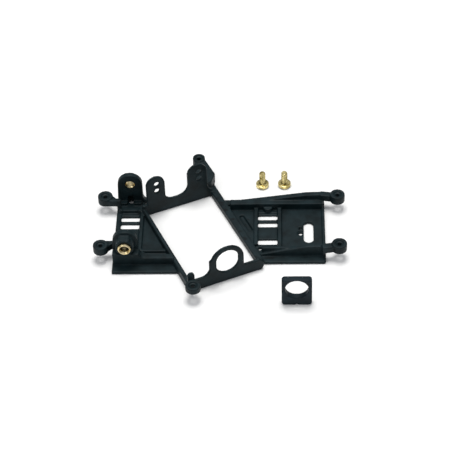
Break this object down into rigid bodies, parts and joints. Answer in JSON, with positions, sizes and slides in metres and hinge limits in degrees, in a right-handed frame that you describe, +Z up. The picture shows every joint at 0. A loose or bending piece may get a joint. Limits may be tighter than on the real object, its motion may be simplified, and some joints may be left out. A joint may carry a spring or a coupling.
{
  "type": "slot car motor mount",
  "caption": "Anglewinder motor mount for a small slot car: open angled motor cradle, bushed axle uprights, mounting ears, loose motor screws and a boss adapter.",
  "frame": {"origin": "on the floor under the centre of the mounting ears, which is also the middle of the overall box to 0.25 mm", "axes": "+X along the moulding from the axle end to the front end, +Y across it towards the motor end plate with the lobes, +Z up"},
  "size_m": [0.0764, 0.0619, 0.0145],
  "materials": {
    "black_nylon": "satin moulded nylon",
    "black_adapter_nylon": "satin moulded nylon",
    "bearing_brass": "turned",
    "screw_brass": "turned"
  },
  "bodies": {
    "frame": {"motor_mount_frame": "black_nylon"},
    "bushing_near": {"axle_bushing_near": "bearing_brass"},
    "bushing_far": {"axle_bushing_far": "bearing_brass"},
    "screw_1": {"motor_screw_1": "screw_brass"},
    "screw_2": {"motor_screw_2": "screw_brass"},
    "adapter": {"boss_adapter": "black_adapter_nylon"}
  },
  "joints": [
    {"name": "bushing_near_press_out", "type": "slide", "parent": "frame", "child": "bushing_near", "axis": [0, -1, 0], "range_m": [0, 0.003]},
    {"name": "bushing_far_press_out", "type": "slide", "parent": "frame", "child": "bushing_far", "axis": [0, 1, 0], "range_m": [0, 0.003]},
    {"name": "screw_1_lift", "type": "slide", "parent": "frame", "child": "screw_1", "axis": [0, 0, 1], "range_m": [0, 0.02]},
    {"name": "screw_2_lift", "type": "slide", "parent": "frame", "child": "screw_2", "axis": [0, 0, 1], "range_m": [0, 0.02]},
    {"name": "adapter_lift", "type": "slide", "parent": "frame", "child": "adapter", "axis": [0, 0, 1], "range_m": [0, 0.02]}
  ]
}
